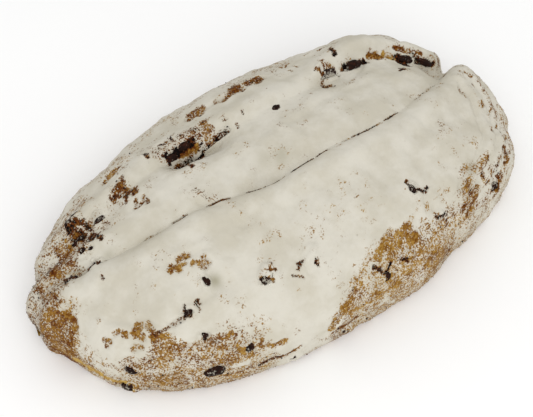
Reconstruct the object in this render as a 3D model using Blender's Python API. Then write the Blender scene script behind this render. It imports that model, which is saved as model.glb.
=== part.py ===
"""Stollen: a folded festive loaf with raisins baked into it, as closed solids.

Frame: +X runs along the loaf, +Y across it toward the torn back and +Z up. The origin is at the
middle of the flat underside. Sizes are in metres.

The loaf is one surface over a unit disc. A disc point (p, q) has a reach, its distance from the
middle, and a bearing, its angle. Reach 0 is the crown, RIM_REACH the widest line round the loaf and
1 the edge of the underside. The places of folds and lumps are given as (u, v), fractions of half
the length and half the width as seen from above.
"""

import math

import bmesh
import bpy
import numpy as np
from mathutils import Matrix, Vector

# Driving dimensions.
LENGTH = 0.290
WIDTH = 0.162
HEIGHT = 0.070
RIM_HEIGHT = 0.018
OUTLINE_POWER = 2.22
DOME_POWER = 0.80
RIM_REACH = 0.86
TUCK_UNDER = 0.045

# Grid of the loaf: steps along it, and steps across it in front of the fold, from the fold to the
# tear and behind the tear. Steps are crowded at the ends of each stretch by the crowding share.
STEPS_ALONG = 50
STEPS_ACROSS = (16, 13, 14)
CROWDING = 0.85

# The gap between a raisin and its pocket.
GAP = 0.0003

# Swellings of the outline: bearing in degrees, half-width in degrees, share of the radius.
OUTLINE_SWELLS = (
    (12, 12, -0.053),
    (46, 10, 0.065),
    (62, 7, -0.013),
    (122, 16, -0.041),
    (167, 4, 0.051),
    (173, 4, 0.022),
    (180, 5, 0.037),
    (-105, 22, -0.013),
    (-62, 5, -0.030),
    (-38, 8, 0.034),
)

# Lumps and hollows of the dough: u, v, radius, height.
DOUGH_LUMPS = (
    (0.15, -0.60, 0.040, 0.0015),
    (-0.60, -0.42, 0.019, 0.0035),
    (0.30, 0.12, 0.020, 0.0015),
    (-0.40, 0.15, 0.020, 0.0015),
    (0.05, 0.62, 0.020, 0.0020),
    (0.60, 0.52, 0.016, 0.0025),
    (0.50, 0.62, 0.022, 0.0017),
    (0.88, -0.02, 0.012, 0.0040),
    (0.90, 0.16, 0.009, 0.0024),
    (-0.10, -0.06, 0.008, -0.0030),
    (-0.46, -0.56, 0.005, -0.0030),
    (-0.84, 0.04, 0.006, -0.0025),
)

# Raisins: bearing in degrees, reach, length, width, turn from +X in degrees, rise.
# Rise is the share of a raisin's thickness that stands out of the crust.
RAISINS = (
    # Front wall, from the blunt end to the notched end.
    (-147, 0.90, 0.0100, 0.0070, -30, 0.60),
    (-146, 0.79, 0.0080, 0.0060, -20, 0.45),
    (-126, 0.83, 0.0120, 0.0075, -22, 0.55),
    (-119, 0.74, 0.0090, 0.0065, -5, 0.45),
    (-108, 0.90, 0.0090, 0.0055, -10, 0.45),
    (-95, 0.90, 0.0080, 0.0055, -10, 0.40),
    (-85, 0.70, 0.0075, 0.0060, 15, 0.35),
    (-79, 0.66, 0.0110, 0.0065, -18, 0.40),
    (-65, 0.61, 0.0080, 0.0055, -10, 0.40),
    (-48, 0.75, 0.0075, 0.0065, 0, 0.45),
    # Front lobe.
    (-130, 0.62, 0.0075, 0.0060, -10, 0.35),
    (-137, 0.51, 0.0090, 0.0060, 0, 0.35),
    (-136, 0.41, 0.0080, 0.0055, -90, 0.30),
    (-116, 0.43, 0.0120, 0.0075, 48, 0.40),
    (-102, 0.41, 0.0110, 0.0060, 30, 0.25),
    (-63, 0.44, 0.0120, 0.0070, -75, 0.30),
    # Blunt end behind the fold.
    (151, 0.54, 0.0110, 0.0055, 5, 0.40),
    (160, 0.53, 0.0120, 0.0055, 5, 0.40),
    (156, 0.45, 0.0110, 0.0065, 48, 0.40),
    (169, 0.47, 0.0100, 0.0070, 5, 0.35),
    (177, 0.47, 0.0090, 0.0070, -20, 0.35),
    # First open tear.
    (128, 0.39, 0.0060, 0.0045, 0, 0.40),
    (126, 0.33, 0.0090, 0.0065, -34, 0.50),
    (120, 0.31, 0.0080, 0.0070, 20, 0.55),
    (115, 0.28, 0.0070, 0.0050, 10, 0.40),
    # Between the tears.
    (73, 0.20, 0.0065, 0.0050, 20, 0.40),
    # Second open tear.
    (50, 0.31, 0.0120, 0.0080, 0, 0.50),
    (41, 0.37, 0.0120, 0.0075, 10, 0.50),
    (27, 0.53, 0.0110, 0.0070, -20, 0.50),
    (20, 0.59, 0.0100, 0.0060, -34, 0.50),
)
RAISIN_THICKNESS = 0.62
RAISIN_WRINKLE = 0.07

CRUST_COLOUR = (0.30, 0.13, 0.045, 1.0)
RAISIN_COLOUR = (0.022, 0.011, 0.008, 1.0)


def bell(value, middle, spread):
    """A smooth hump that is 1 at the middle and falls off over the spread."""
    return np.exp(-(((value - middle) / spread) ** 2))


def blend(low, high, value):
    """0 below low, 1 above high and a smooth S between them."""
    share = np.clip((value - low) / (high - low), 0, 1)
    return share * share * (3 - 2 * share)


def outline(bearing):
    """Radius of the plan at a bearing, where an ellipse would be 1: a superellipse and its swells."""
    side = np.abs(np.cos(bearing)) ** OUTLINE_POWER + np.abs(np.sin(bearing)) ** OUTLINE_POWER
    radius = side ** (-1 / OUTLINE_POWER)
    for middle, spread, amount in OUTLINE_SWELLS:
        off = np.angle(np.exp(1j * (bearing - math.radians(middle))))
        radius = radius * (1 + amount * bell(off, 0, math.radians(spread)))
    return radius


def dome(p, q):
    """Smooth loaf over the disc: quarter waves up from the rim to the crown and under to the base."""
    reach = np.hypot(p, q)
    bearing = np.arctan2(q, p)
    climb = np.clip(reach / RIM_REACH, 0, 1) * math.pi / 2
    tuck = np.clip((reach - RIM_REACH) / (1 - RIM_REACH), 0, 1) * math.pi / 2
    spread = np.sin(climb) * (1 - TUCK_UNDER * (1 - np.cos(tuck))) * outline(bearing)
    crown = (HEIGHT - RIM_HEIGHT) * np.clip(np.cos(climb), 0, 1) ** DOME_POWER
    z = RIM_HEIGHT * (1 - np.sin(tuck)) + crown
    x = LENGTH / 2 * spread * np.cos(bearing)
    y = WIDTH / 2 * spread * np.sin(bearing)
    return np.stack([x, y, z], axis=-1)


def fold_line(u):
    """v of the edge where the big front lobe folds over the middle of the loaf."""
    bends = 0.05 * bell(u, -0.42, 0.16) - 0.04 * bell(u, 0.45, 0.2) + 0.13 * bell(u, 0.95, 0.14)
    return -0.16 + 0.30 * u**2 + bends


def tear_line(u):
    """v of the line where the crust has torn along the back of the loaf."""
    ends = -0.15 * bell(u, 0.86, 0.10) - 0.10 * bell(u, -0.85, 0.20)
    return 0.37 + ends + 0.05 * bell(u, -0.32, 0.15) + 0.10 * bell(u, 0.55, 0.20)


def fold_depth(u):
    """Depth of the valley behind the front lobe."""
    pits = 0.0025 * bell(u, -0.10, 0.12) + 0.0015 * bell(u, -0.58, 0.12) + 0.0012 * bell(u, 0.86, 0.10)
    shallow = 0.0020 * bell(u, -0.27, 0.06) + 0.0018 * blend(0.00, 0.20, u) * blend(0.80, 0.65, u)
    return (0.0040 + pits - shallow) * blend(-0.98, -0.80, u)


def tear_depth(u):
    """Depth along the back: two open tears with a shallow valley between them."""
    first = 0.0085 * blend(-0.40, -0.32, u) * blend(-0.08, -0.20, u)
    second = 0.0036 * blend(0.24, 0.34, u) * blend(0.90, 0.80, u)
    return 0.0025 + first + second


def valley(off, depth, front, back):
    """A furrow across an offset, with its own half-width on either side."""
    width = np.where(off < 0, front, back)
    return -depth * np.exp(-((off / width) ** 2))


def relief(u, v, reach):
    """Height of folds, tears and lumps over the smooth loaf.

    They die out down the walls, the fold lower down at the notched end than elsewhere.
    """
    half_width = WIDTH / 2
    half_length = LENGTH / 2
    from_fold = (v - fold_line(u)) * half_width
    from_tear = (v - tear_line(u)) * half_width
    down_wall = blend(0.90, 0.62, reach)
    notched = blend(0.5, 0.8, u)
    down_notch = blend(0.90 + 0.08 * notched, 0.62 + 0.14 * notched, reach)
    height = valley(from_fold, fold_depth(u) * down_notch, 0.0028, 0.0095)
    height = height + 0.0025 * bell(from_fold, -0.008, 0.006) * down_wall
    before_tear = 0.0095 + 0.0060 * blend(0.20, 0.40, u)
    height = height + valley(from_tear, tear_depth(u) * down_wall, before_tear, 0.0032)
    height = height + 0.0022 * bell(from_tear, 0.008, 0.006) * down_wall
    for lump_u, lump_v, radius, rise in DOUGH_LUMPS:
        away = np.hypot((u - lump_u) * half_length, (v - lump_v) * half_width)
        height = height + rise * bell(away, 0, radius)
    x = u * half_length
    y = v * half_width
    waves = np.sin(2 * np.pi * (x / 0.047 + y / 0.071)) * np.sin(2 * np.pi * (y / 0.039 - x / 0.083) + 1)
    ripples = np.sin(2 * np.pi * (x / 0.019 - y / 0.043)) * np.sin(2 * np.pi * (y / 0.021 + x / 0.037) + 2)
    return height + 0.0008 * waves + 0.0004 * ripples


def loaf_surface(p, q):
    """Points of the loaf and their outward directions: the dome moved along its normal by the relief."""
    step = 1e-4
    along = dome(p + step, q) - dome(p - step, q)
    across = dome(p, q + step) - dome(p, q - step)
    normal = np.cross(along, across)
    normal = normal / np.linalg.norm(normal, axis=-1, keepdims=True)
    point = dome(p, q)
    reach = np.hypot(p, q)
    fade = blend(1.0, 0.88, reach)
    height = relief(point[..., 0] * 2 / LENGTH, point[..., 1] * 2 / WIDTH, reach) * fade
    return point + normal * height[..., None], normal


def make_material(name, colour, roughness):
    """A Principled material of one colour."""
    material = bpy.data.materials.new(name)
    material.use_nodes = True
    shader = material.node_tree.nodes["Principled BSDF"]
    shader.inputs["Base Color"].default_value = colour
    shader.inputs["Roughness"].default_value = roughness
    shader.inputs["Metallic"].default_value = 0.0
    return material


def make_object(name, mesh, material):
    """A smooth-shaded object in the scene."""
    mesh.materials.append(material)
    mesh.shade_smooth()
    obj = bpy.data.objects.new(name, mesh)
    bpy.context.scene.collection.objects.link(obj)
    return obj


def square_to_disc(s, t):
    """Elliptical map of the square to the disc, which keeps lines along the loaf nearly straight."""
    return s * np.sqrt(1 - t**2 / 2), t * np.sqrt(1 - s**2 / 2)


def fit_to_size(points):
    """Origin and stretch that give the loaf its driving size, standing on the ground at the origin."""
    low = points.min(axis=(0, 1))
    high = points.max(axis=(0, 1))
    origin = np.array([(low[0] + high[0]) / 2, (low[1] + high[1]) / 2, low[2]])
    return origin, np.array([LENGTH, WIDTH, HEIGHT]) / (high - low)


def crossing(s, line):
    """t at which a line of the square at s crosses a fold given as v over u."""
    t = np.linspace(-1, 1, 400)
    point = dome(*square_to_disc(np.full_like(t, s), t))
    u = point[:, 0] * 2 / LENGTH
    v = point[:, 1] * 2 / WIDTH
    return np.interp(0, v - line(u), t)


def crowded(steps):
    """Shares from 0 to 1 that crowd at both ends: a straight line mixed with a smooth S."""
    even = np.linspace(0, 1, steps + 1)
    return (1 - CROWDING) * even + CROWDING * blend(0, 1, even)


def loaf_grid():
    """Points of the loaf on a grid of the square, with lines that run along the fold and the tear."""
    along = np.linspace(-1, 1, STEPS_ALONG + 1)
    edges = np.array([[-1, crossing(s, fold_line), crossing(s, tear_line), 1] for s in along])
    stretches = []
    for number, steps in enumerate(STEPS_ACROSS):
        start = edges[:, number, None]
        end = edges[:, number + 1, None]
        stretches.append((start + (end - start) * crowded(steps))[:, :-1])
    across = np.concatenate([*stretches, edges[:, -1:]], axis=1)
    points, _ = loaf_surface(*square_to_disc(along[:, None], across))
    return points


def make_loaf(points, material):
    """The loaf: a skin of quads over the grid, closed by its flat underside."""
    rows, columns = points.shape[:2]
    order = np.arange(rows * columns).reshape(rows, columns)
    corners = (order[:-1, :-1], order[1:, :-1], order[1:, 1:], order[:-1, 1:])
    quads = np.stack([corner.ravel() for corner in corners], axis=-1)
    rim = np.concatenate([order[:-1, 0], order[-1, :-1], order[:0:-1, -1], order[0, :0:-1]])
    mesh = bpy.data.meshes.new("loaf")
    mesh.from_pydata(points.reshape(-1, 3).tolist(), [], quads.tolist() + [rim[::-1].tolist()])
    return make_object("loaf", mesh, material)


def lump_mesh(name, sizes, wrinkle, phase):
    """A closed lump: a small icosphere stretched to its sizes and pinched along its length."""
    lump = bmesh.new()
    bmesh.ops.create_icosphere(lump, subdivisions=2, radius=0.5)
    for vertex in lump.verts:
        around = math.atan2(vertex.co.z, vertex.co.y)
        pinch = math.sin(5 * around + phase) + 0.6 * math.sin(9 * vertex.co.x + 2 * phase)
        vertex.co *= 1 + wrinkle * pinch
        vertex.co = Vector([axis * size for axis, size in zip(vertex.co, sizes)])
    mesh = bpy.data.meshes.new(name)
    lump.to_mesh(mesh)
    lump.free()
    return mesh


def raisin_placement(bearing, reach, thickness, turn, rise, origin, stretch):
    """Matrix that lays a lump on the crust: Z along the surface's normal, X turned from +X."""
    angle = math.radians(bearing)
    disc_point = np.array(reach * math.cos(angle)), np.array(reach * math.sin(angle))
    point, normal = loaf_surface(*disc_point)
    up = Vector(normal.tolist())
    heading = Vector((math.cos(math.radians(turn)), math.sin(math.radians(turn)), 0.0))
    across = up.cross(heading).normalized()
    along = across.cross(up)
    turned = Matrix((along, across, up)).transposed().to_4x4()
    centre = Vector(((point - origin) * stretch).tolist()) + up * thickness * (rise - 0.5)
    return Matrix.Translation(centre) @ turned


def make_raisins(loaf, origin, stretch, material):
    """Each raisin and the pocket that it fills, cut from the loaf with a gap all round."""
    pockets = bpy.data.collections.new("pockets")
    bpy.context.scene.collection.children.link(pockets)
    for number, (bearing, reach, length, width, turn, rise) in enumerate(RAISINS, start=1):
        thickness = width * RAISIN_THICKNESS
        place = raisin_placement(bearing, reach, thickness, turn, rise, origin, stretch)
        sizes = np.array([length, width, thickness])
        raisin = lump_mesh(f"raisin_{number:02d}", sizes, RAISIN_WRINKLE, number)
        make_object(f"raisin_{number:02d}", raisin, material).matrix_world = place
        pocket_mesh = lump_mesh(f"pocket_{number:02d}", sizes + 2.4 * GAP, RAISIN_WRINKLE, number)
        pocket = bpy.data.objects.new(f"pocket_{number:02d}", pocket_mesh)
        pockets.objects.link(pocket)
        pocket.matrix_world = place
        pocket.hide_render = True
        pocket.display_type = "WIRE"
    cut = loaf.modifiers.new("pockets", "BOOLEAN")
    cut.operation = "DIFFERENCE"
    cut.solver = "EXACT"
    cut.operand_type = "COLLECTION"
    cut.collection = pockets


def main():
    for obj in list(bpy.data.objects):
        bpy.data.objects.remove(obj)
    crust = make_material("crust", CRUST_COLOUR, 0.75)
    dried_fruit = make_material("raisin", RAISIN_COLOUR, 0.45)
    points = loaf_grid()
    origin, stretch = fit_to_size(points)
    loaf = make_loaf((points - origin) * stretch, crust)
    make_raisins(loaf, origin, stretch, dried_fruit)


main()
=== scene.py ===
"""Stollen: the looks of a folded, sugar-dusted festive loaf, as a Blender add-on run as a script.

The loaf's skin is one surface over a unit disc, made as three closed pieces that meet at the bottom
of its two seams. A disc point has a reach, its distance from the middle, and a bearing, its angle in
degrees from +X. Reach 0 is the crown, RIM_REACH the widest line round the loaf and 1 the edge of the
underside. Folds and lumps are placed by (u, v), fractions of half the length and half the width.
"""

import math

import bpy
import numpy as np
from bpy.props import FloatProperty, FloatVectorProperty, IntProperty, PointerProperty
from bpy.types import Operator, Panel, PropertyGroup
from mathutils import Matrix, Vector


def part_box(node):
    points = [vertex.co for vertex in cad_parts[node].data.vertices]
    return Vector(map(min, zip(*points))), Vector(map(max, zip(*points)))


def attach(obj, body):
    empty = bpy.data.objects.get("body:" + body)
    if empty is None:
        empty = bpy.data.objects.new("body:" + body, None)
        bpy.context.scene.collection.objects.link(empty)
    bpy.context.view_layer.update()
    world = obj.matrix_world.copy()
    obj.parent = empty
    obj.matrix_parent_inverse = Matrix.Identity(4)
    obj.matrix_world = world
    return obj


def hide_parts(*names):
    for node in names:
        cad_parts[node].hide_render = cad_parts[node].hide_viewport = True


bl_info = {
    "name": "Stollen",
    "version": (1, 0, 0),
    "blender": (4, 5, 0),
    "location": "View3D > Sidebar > Stollen",
    "description": "Dresses a folded festive loaf with crust, raisins and sugar",
    "category": "Object",
}

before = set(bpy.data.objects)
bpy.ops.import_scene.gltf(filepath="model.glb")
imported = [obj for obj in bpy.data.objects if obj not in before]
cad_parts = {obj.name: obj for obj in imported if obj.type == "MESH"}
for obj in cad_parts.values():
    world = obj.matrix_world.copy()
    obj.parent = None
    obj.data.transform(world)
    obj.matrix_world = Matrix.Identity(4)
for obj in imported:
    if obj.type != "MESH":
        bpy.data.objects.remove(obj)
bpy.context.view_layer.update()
LOAF_LOW, LOAF_HIGH = (np.array(corner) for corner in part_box("loaf"))
LENGTH, WIDTH, HEIGHT = LOAF_HIGH - LOAF_LOW
RAISIN_NODES = sorted(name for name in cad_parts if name.startswith("raisin"))
MM = 0.001

# The smooth loaf.
RIM_HEIGHT = 0.018
OUTLINE_POWER = 2.22
DOME_POWER = 0.80
RIM_REACH = 0.86
TUCK_UNDER = 0.045

# Grid of the skin: steps along it, and steps across it in front of the fold, between the fold and
# the tear and behind the tear.
STEPS_ALONG = 560
STEPS_ACROSS = (165, 75, 130)
CROWDING = 0.55
CROWN_SPACING = 0.72

# Swellings of the outline: bearing in degrees, half-width in degrees, share of the radius.
OUTLINE_SWELLS = (
    (12, 12, -0.053),
    (46, 10, 0.065),
    (62, 7, -0.013),
    (122, 16, -0.041),
    (167, 4, 0.051),
    (173, 4, 0.022),
    (180, 5, 0.037),
    (-105, 22, -0.013),
    (-62, 5, -0.030),
    (-38, 8, 0.034),
)

# Lumps and hollows of the dough: u, v, radius, height.
DOUGH_LUMPS = (
    (0.15, -0.60, 0.040, 0.0015),
    (-0.60, -0.42, 0.019, 0.0035),
    (0.30, 0.12, 0.020, 0.0015),
    (-0.40, 0.15, 0.020, 0.0015),
    (0.05, 0.62, 0.020, 0.0020),
    (0.60, 0.52, 0.016, 0.0025),
    (0.50, 0.62, 0.022, 0.0017),
    (0.88, -0.02, 0.012, 0.0040),
    (0.90, 0.16, 0.009, 0.0024),
    (-0.10, -0.06, 0.008, -0.0030),
    (-0.46, -0.56, 0.005, -0.0030),
    (-0.84, 0.04, 0.006, -0.0025),
)

# Small creases: path of (bearing, reach), depth, half-width and height of the lip, all three in mm. The
# lip is on the path's left, or on its right if it is negative. A negative depth makes a ridge.
CREASES = (
    # Round the front lobe.
    (((-178, 0.20), (-155, 0.19), (-132, 0.24)), 1.2, 1.8, 0.8),
    (((-160, 0.59), (-140, 0.56), (-132, 0.45), (-140, 0.35)), 1.5, 2.0, -0.9),
    (((-155, 0.38), (-145, 0.31)), 1.0, 2.0, 0.5),
    # Along the back lobe.
    (((105, 0.42), (90, 0.38), (75, 0.40)), 1.2, 1.6, 0.5),
    (((70, 0.44), (55, 0.50), (42, 0.49)), 0.8, 1.6, 0.4),
    # On the crown and the front lobe.
    (((-100, 0.38), (-105, 0.42), (-103, 0.50)), 0.9, 1.1, 0.4),
    (((60, 0.10), (35, 0.20), (22, 0.32)), 0.7, 2.4, 0.3),
    (((-8, 0.27), (-30, 0.36)), 0.4, 2.0, 0.2),
    # Inside the two tears.
    (((125, 0.30), (116, 0.28), (105, 0.23)), 2.2, 2.2, 0.3),
    (((36, 0.34), (38, 0.42)), 1.4, 1.8, 0.0),
    (((38, 0.43), (30, 0.48)), -1.2, 2.2, 0.0),
    (((28, 0.50), (18, 0.62)), 1.2, 1.2, 0.8),
)

# Layers of the notched end: reach of each at its first bearing, how much it grows for each degree, and
# depth, half-width and lip of their creases, as above.
LAYER_BEARINGS = (-5, -15, -25, -35, -45, -55)
LAYER_REACHES = (0.51, 0.58, 0.66)
LAYER_GROWTH = 0.0012
LAYER_CREASE = (1.5, 1.6, 0.8)

# Middle and half-width of the notched end, as bearings.
NOTCHED_END = (-25, 32)

# Edge of the sugar blanket: bearing, reach where it ends, how bare the crust is beyond it, and the
# tone of that crust. Tone goes from golden at 0 through brown at 0.5 to dark at 1, and is burnt above it;
# this near-black also paints the shade in the first tear's hollow.
BLANKET_EDGE = (
    (-180, 0.58, 0.50, 0.70),
    (-174, 0.66, 0.66, 0.64),
    (-168, 0.74, 0.66, 0.60),
    (-161, 0.80, 0.32, 0.52),
    (-150, 0.80, 0.28, 0.54),
    (-142, 0.68, 0.44, 0.50),
    (-122, 0.63, 0.50, 0.46),
    (-115, 0.70, 0.30, 0.50),
    (-110, 0.90, 0.16, 0.55),
    (-101, 0.88, 0.16, 0.55),
    (-97, 0.74, 0.40, 0.44),
    (-88, 0.56, 0.48, 0.42),
    (-74, 0.52, 0.50, 0.42),
    (-64, 0.60, 0.42, 0.46),
    (-50, 0.56, 0.22, 0.56),
    (-38, 0.62, 0.18, 0.60),
    (0, 0.62, 0.16, 0.62),
    (45, 0.55, 0.16, 0.62),
    (105, 0.46, 0.13, 0.60),
    (130, 0.46, 0.13, 0.62),
    (145, 0.44, 0.20, 0.66),
    (165, 0.42, 0.34, 0.66),
)

# Places where the crust shows, and the first tear's hollow painted black as shade: path of (bearing, reach),
# radius in mm, how bare, tone.
BARE_AND_SHADED_PLACES = (
    # Golden strip torn open at the foot of the blunt end, and its browned edge.
    (((-167, 0.88), (-157, 0.87), (-147, 0.89)), 2.4, 0.97, -0.15),
    (((-166, 0.93), (-157, 0.92), (-148, 0.92)), 1.0, 0.90, 0.55),
    # Foot of the front wall.
    (((-124, 0.87), (-118, 0.87)), 1.3, 0.85, 0.70),
    (((-116, 0.87), (-107, 0.86)), 1.5, 0.92, 0.85),
    (((-99, 0.87), (-93, 0.86)), 1.3, 0.92, 0.75),
    # First tear: its hollow painted black as shade, brown wall, golden floor, and the dark lines that run out
    # of it.
    (((126, 0.34), (117, 0.30)), 2.3, 0.98, 1.40),
    (((124, 0.30), (119, 0.28)), 3.0, 1.00, 1.35),
    (((123, 0.32), (117, 0.29)), 2.0, 0.93, 0.55),
    (((126, 0.31), (122, 0.27)), 2.6, 0.92, 0.90),
    (((126, 0.36), (113, 0.31)), 4.5, 0.36, 0.90),
    (((116, 0.28), (104, 0.23)), 1.8, 0.98, 1.25),
    (((127, 0.31), (142, 0.21)), 1.2, 0.95, 1.05),
    (((129, 0.38), (127, 0.40)), 1.2, 0.90, 1.30),
    # Second tear: black at both ends, brown and golden dough between them, and a brown upper edge.
    (((44, 0.35), (38, 0.40)), 2.3, 0.95, 1.30),
    (((38, 0.44), (35, 0.46)), 2.5, 0.97, 0.60),
    (((34, 0.48), (31, 0.49)), 2.3, 0.97, 0.12),
    (((30, 0.51), (22, 0.50)), 2.1, 0.96, 1.30),
    (((26, 0.54), (18, 0.62)), 2.0, 0.96, 1.30),
    (((32, 0.52), (24, 0.57), (18, 0.70)), 1.2, 0.96, 0.66),
    (((52, 0.43), (49, 0.37)), 1.1, 0.95, 1.30),
    # Hook at the end of the fold, line under the lobe's crater, and raisin ends.
    (((176, 0.50), (178, 0.46), (-174, 0.49)), 0.8, 0.90, 1.30),
    (((-137, 0.51), (-138, 0.54), (-144, 0.60)), 1.1, 0.90, 0.90),
    (((74, 0.21),), 1.3, 0.96, 1.40),
    (((-66, 0.60), (-63, 0.64)), 1.1, 0.98, 1.35),
    (((-85, 0.68), (-83, 0.64)), 1.1, 0.95, 1.35),
    (((-131, 0.60),), 0.9, 0.95, 1.40),
)

# Marks strewn in clusters: bearing and its spread, reach and its spread, how many, their length and
# radius in mm, how bare, tone.
BARE_CLUSTERS = (
    # Blunt end: torn blisters and dark bake, with brown patches below them.
    (156, 3, 0.53, 0.03, 4, 5, 1.8, 0.88, 0.80),
    (157, 4, 0.52, 0.04, 5, 5, 1.0, 0.90, 1.20),
    (166, 5, 0.45, 0.03, 6, 5, 0.9, 0.80, 1.10),
    (164, 4, 0.62, 0.06, 4, 7, 2.2, 0.72, 0.75),
    (175, 4, 0.57, 0.03, 3, 4, 1.2, 0.72, 1.10),
    (-176, 4, 0.69, 0.04, 4, 7, 2.8, 0.80, 0.62),
    (-173, 4, 0.80, 0.07, 4, 8, 3.0, 0.84, 0.62),
    # Back of the blunt end.
    (131, 4, 0.45, 0.05, 2, 6, 1.7, 0.66, 0.62),
    (146, 5, 0.40, 0.03, 8, 4, 1.3, 0.76, 0.85),
    (155, 8, 0.33, 0.03, 6, 4, 1.0, 0.76, 0.75),
    # Round the first tear.
    (120, 10, 0.35, 0.03, 5, 2, 0.7, 0.84, 1.10),
    (107, 4, 0.29, 0.02, 3, 4, 1.8, 0.62, 0.65),
    (98, 6, 0.23, 0.03, 4, 2, 0.6, 0.80, 1.00),
    # Back rim.
    (100, 4, 0.41, 0.03, 5, 5, 2.0, 0.70, 0.74),
    (89, 4, 0.41, 0.04, 4, 6, 1.8, 0.72, 0.74),
    (79, 3, 0.40, 0.02, 3, 4, 1.9, 0.74, 0.74),
    (64, 6, 0.43, 0.06, 4, 4, 0.7, 0.74, 0.72),
    (101, 6, 0.62, 0.02, 2, 3, 0.7, 0.75, 0.70),
    # Round the second tear.
    (51, 6, 0.29, 0.04, 6, 4, 0.8, 0.82, 0.85),
    (48, 6, 0.34, 0.02, 3, 3, 1.2, 0.78, 0.70),
    (20, 3, 0.45, 0.02, 3, 4, 0.8, 0.86, 1.25),
    (54, 4, 0.48, 0.07, 3, 6, 0.9, 0.82, 0.65),
    # Front lobe.
    (-151, 3, 0.36, 0.03, 4, 4, 1.6, 0.76, 0.52),
    (-142, 3, 0.35, 0.01, 4, 3, 1.2, 0.70, 0.50),
    (-137, 2, 0.50, 0.03, 4, 4, 0.8, 0.94, 1.25),
    (-147, 4, 0.59, 0.02, 3, 7, 2.0, 0.74, 0.45),
    (-152, 5, 0.66, 0.04, 4, 5, 1.5, 0.68, 0.50),
    (-116, 2, 0.42, 0.05, 6, 3, 0.8, 0.72, 0.72),
    (-104, 3, 0.44, 0.05, 4, 5, 0.7, 0.88, 1.05),
    (-62, 2, 0.44, 0.05, 3, 4, 0.8, 0.86, 1.20),
    # Mottled bake low on the front.
    (-136, 4, 0.67, 0.03, 5, 8, 3.6, 0.70, 0.47),
    (-137, 5, 0.80, 0.07, 5, 9, 3.6, 0.68, 0.50),
    (-121, 5, 0.68, 0.06, 5, 6, 1.5, 0.75, 0.45),
    (-115, 4, 0.76, 0.06, 5, 6, 1.6, 0.72, 0.42),
    (-97, 4, 0.78, 0.06, 5, 7, 2.6, 0.76, 0.34),
    (-86, 4, 0.74, 0.06, 5, 7, 2.0, 0.72, 0.42),
    (-79, 5, 0.57, 0.04, 7, 7, 2.5, 0.74, 0.40),
    (-83, 4, 0.65, 0.03, 3, 5, 0.9, 0.92, 1.30),
    (-72, 6, 0.74, 0.07, 6, 7, 2.1, 0.70, 0.45),
    # Layered rim of the notched end.
    (-8, 8, 0.52, 0.06, 7, 4, 0.8, 0.72, 0.62),
    (-26, 8, 0.60, 0.05, 7, 4, 0.8, 0.68, 0.62),
    (-33, 6, 0.68, 0.03, 4, 6, 1.6, 0.66, 0.70),
    (-45, 5, 0.66, 0.07, 9, 4, 0.9, 0.76, 0.75),
    (-47, 2, 0.76, 0.03, 4, 4, 1.5, 0.86, 0.75),
    (-56, 4, 0.70, 0.06, 8, 6, 1.0, 0.76, 0.70),
    (-63, 2, 0.70, 0.05, 2, 6, 0.8, 0.80, 0.75),
    # Specks that lie apart.
    (-160, 5, 0.66, 0.10, 6, 0, 0.8, 0.80, 0.85),
    (-133, 6, 0.53, 0.06, 5, 0, 0.6, 0.74, 0.70),
    (-85, 20, 0.35, 0.18, 7, 0, 0.5, 0.78, 0.95),
    (-50, 12, 0.65, 0.12, 6, 0, 0.7, 0.90, 1.20),
    (-5, 12, 0.45, 0.12, 6, 0, 0.7, 0.82, 0.78),
    (120, 12, 0.50, 0.08, 5, 0, 0.6, 0.74, 0.80),
    (150, 30, 0.25, 0.10, 6, 0, 0.5, 0.76, 0.90),
    (-125, 5, 0.75, 0.10, 5, 0, 1.0, 0.72, 0.70),
)

# Share of the loaf's size that one unit of the disc spans, near its middle, and the seed of the draw.
MARK_SCALE = 0.75
MARK_SEED = 3

# Radii in mm: below the first a mark is dotted, below the second broken, below the third crumbly.
DOTTED_MARK = 0.65
BROKEN_MARK = 1.2
CRUMBLY_MARK = 2

# Stretches of the fold where the crust shows: u from and to, radius in mm, how bare, tone.
FOLD_MARKS = (
    (-0.48, -0.43, 0.9, 0.70, 0.65),
    (-0.35, -0.27, 0.8, 0.84, 0.75),
    (-0.20, -0.15, 0.6, 0.80, 0.90),
    (-0.13, -0.07, 0.6, 0.70, 1.10),
    (-0.01, 0.08, 0.6, 0.90, 1.10),
    (0.10, 0.14, 0.6, 0.70, 1.00),
    (0.26, 0.37, 0.6, 0.80, 0.85),
    (0.41, 0.48, 0.6, 0.82, 0.80),
)

# Sugar lying thick within the thin places: path of (bearing, reach), radius in mm.
SUGAR_HEAPS = (
    (((-130, 0.67),), 2.4),
    (((-144, 0.67),), 3.0),
    (((-134, 0.83),), 1.4),
    (((-148, 0.90),), 0.6),
    (((-83, 0.89), (-86, 0.85)), 2.4),
    (((-115, 0.77),), 1.5),
    (((-119, 0.83), (-122, 0.82)), 1.8),
    (((-152, 0.70),), 1.6),
    (((-177, 0.74),), 1.6),
    (((178, 0.65),), 2.0),
    (((174, 0.61),), 2.0),
    (((162, 0.51),), 1.2),
    (((124, 0.31),), 0.7),
    (((-70, 0.77),), 1.2),
    (((-77, 0.62),), 1.4),
)

# How much of each raisin shows through the skin, and how strong its pale film is: sugar that clings to it,
# and painted sheen.
RAISINS_SHOWN = (
    (0.75, 0.25), (0.65, 0.22), (0.95, 0.25), (0.60, 0.25), (0.50, 0.35), (0.50, 0.35),
    (0.50, 0.30), (0.38, 0.20), (0.12, 0.15), (0.50, 0.40), (0.32, 0.25), (0.55, 0.15),
    (0.55, 0.20), (0.35, 0.50), (0.30, 0.40), (0.22, 0.30), (0.50, 0.25), (0.55, 0.30),
    (0.50, 0.30), (0.45, 0.40), (0.45, 0.40), (0.50, 0.35), (0.92, 0.10), (0.95, 0.06),
    (0.85, 0.08), (0.75, 0.12), (0.55, 0.65), (0.90, 0.12), (0.90, 0.10), (0.90, 0.12),
)
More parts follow.
